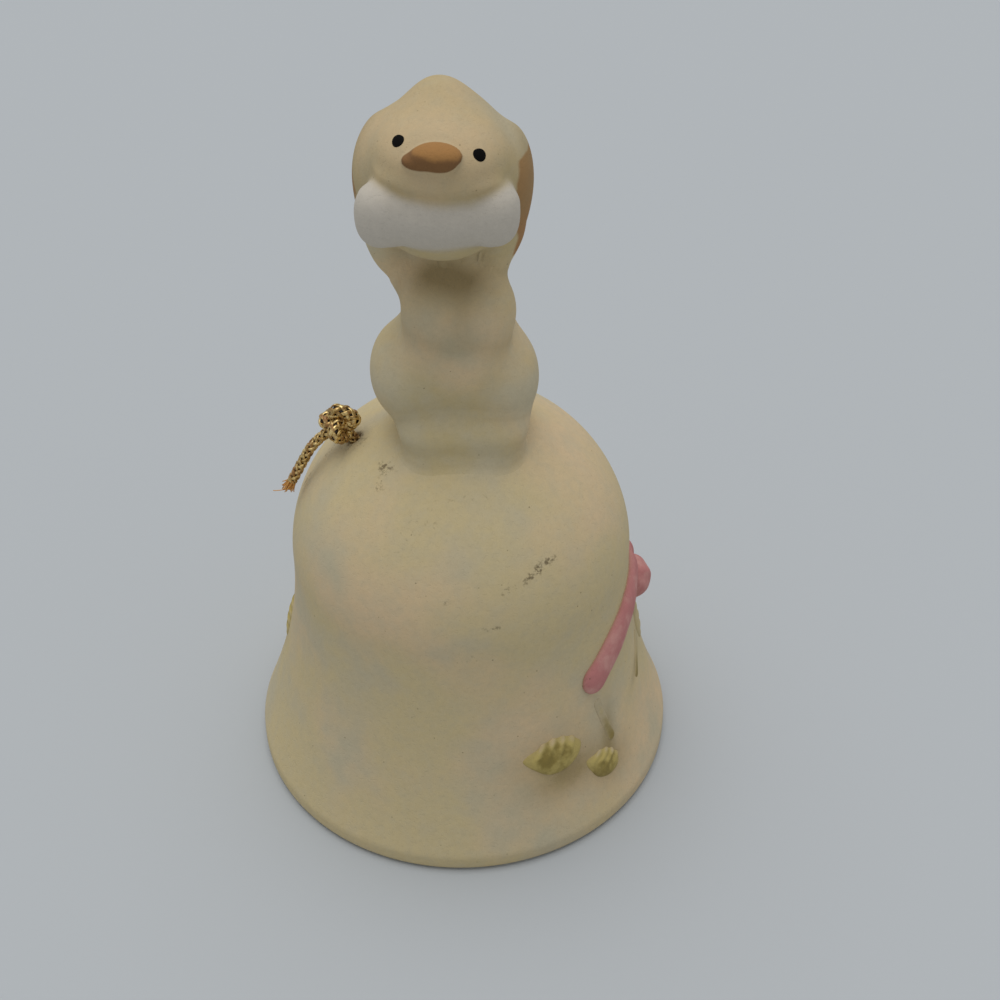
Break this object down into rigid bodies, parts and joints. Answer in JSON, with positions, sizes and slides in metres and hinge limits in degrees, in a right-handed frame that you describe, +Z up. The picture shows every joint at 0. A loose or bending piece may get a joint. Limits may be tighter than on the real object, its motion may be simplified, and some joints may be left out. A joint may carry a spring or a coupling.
{
  "type": "porcelain hand bell",
  "caption": "Small unglazed porcelain hand bell: hollow flared bell, sitting puppy with a bone as its handle, knotted gold cord through the shoulder and a hanging bead clapper.",
  "frame": {"origin": "centre of the bell's mouth, in the plane of the rim that it stands on", "axes": "+Z up along the bell's axis; the puppy looks along -Y, so +X is its own left"},
  "size_m": [0.064, 0.064, 0.1082],
  "materials": {
    "bisque": "matte",
    "ear_paint": "matte",
    "white_paint": "matte",
    "brown_paint": "matte",
    "pink_paint": "matte",
    "green_paint": "matte",
    "bead_bisque": "matte",
    "gold_cord": "metallic braid"
  },
  "bodies": {
    "bell": {"bell_shell": "bisque", "puppy_body": "bisque", "puppy_head": "bisque", "ear_left": "ear_paint", "ear_right": "ear_paint", "nose": "brown_paint", "bone": "white_paint", "foreleg_left": "bisque", "foreleg_right": "bisque", "hind_feet": "bisque", "puppy_tail": "bisque", "ribbon_bow_knot": "pink_paint", "ribbon_bow_loop_front": "pink_paint", "ribbon_bow_loop_back": "pink_paint", "ribbon_tail_front": "pink_paint", "ribbon_tail_back": "pink_paint", "leaf_front_outer": "green_paint", "leaf_front_inner": "green_paint", "leaf_side": "green_paint", "leaf_back_inner": "green_paint", "leaf_back_outer": "green_paint", "leaf_far_upper": "green_paint", "leaf_far_lower": "green_paint", "stem_front": "bisque", "stem_middle": "bisque", "stem_back": "bisque", "knot_outside": "gold_cord", "cord_tail": "gold_cord", "cord_in_hole": "gold_cord"},
    "cord_link": {"cord_link": "gold_cord"},
    "clapper_cord": {"clapper_cord": "gold_cord", "stop_knot": "gold_cord", "cord_end_below_bead": "gold_cord"},
    "clapper_bead": {"clapper_bead": "bead_bisque"}
  },
  "joints": [
    {"name": "cord_swing_upper", "type": "hinge", "parent": "bell", "child": "cord_link", "pos_m": [-0.01248, 0, 0.05083], "axis": [0.7071, 0.7071, 0], "range_deg": [-36.5, 6.75]},
    {"name": "cord_swing_lower", "type": "hinge", "parent": "cord_link", "child": "clapper_cord", "pos_m": [-0.01248, 0, 0.04733], "axis": [0.7071, -0.7071, 0], "range_deg": [-7.5, 43]},
    {"name": "bead_spin", "type": "hinge", "parent": "clapper_cord", "child": "clapper_bead", "pos_m": [-0.01248, 0, 0.017], "axis": [0, 0, 1], "continuous": true}
  ]
}
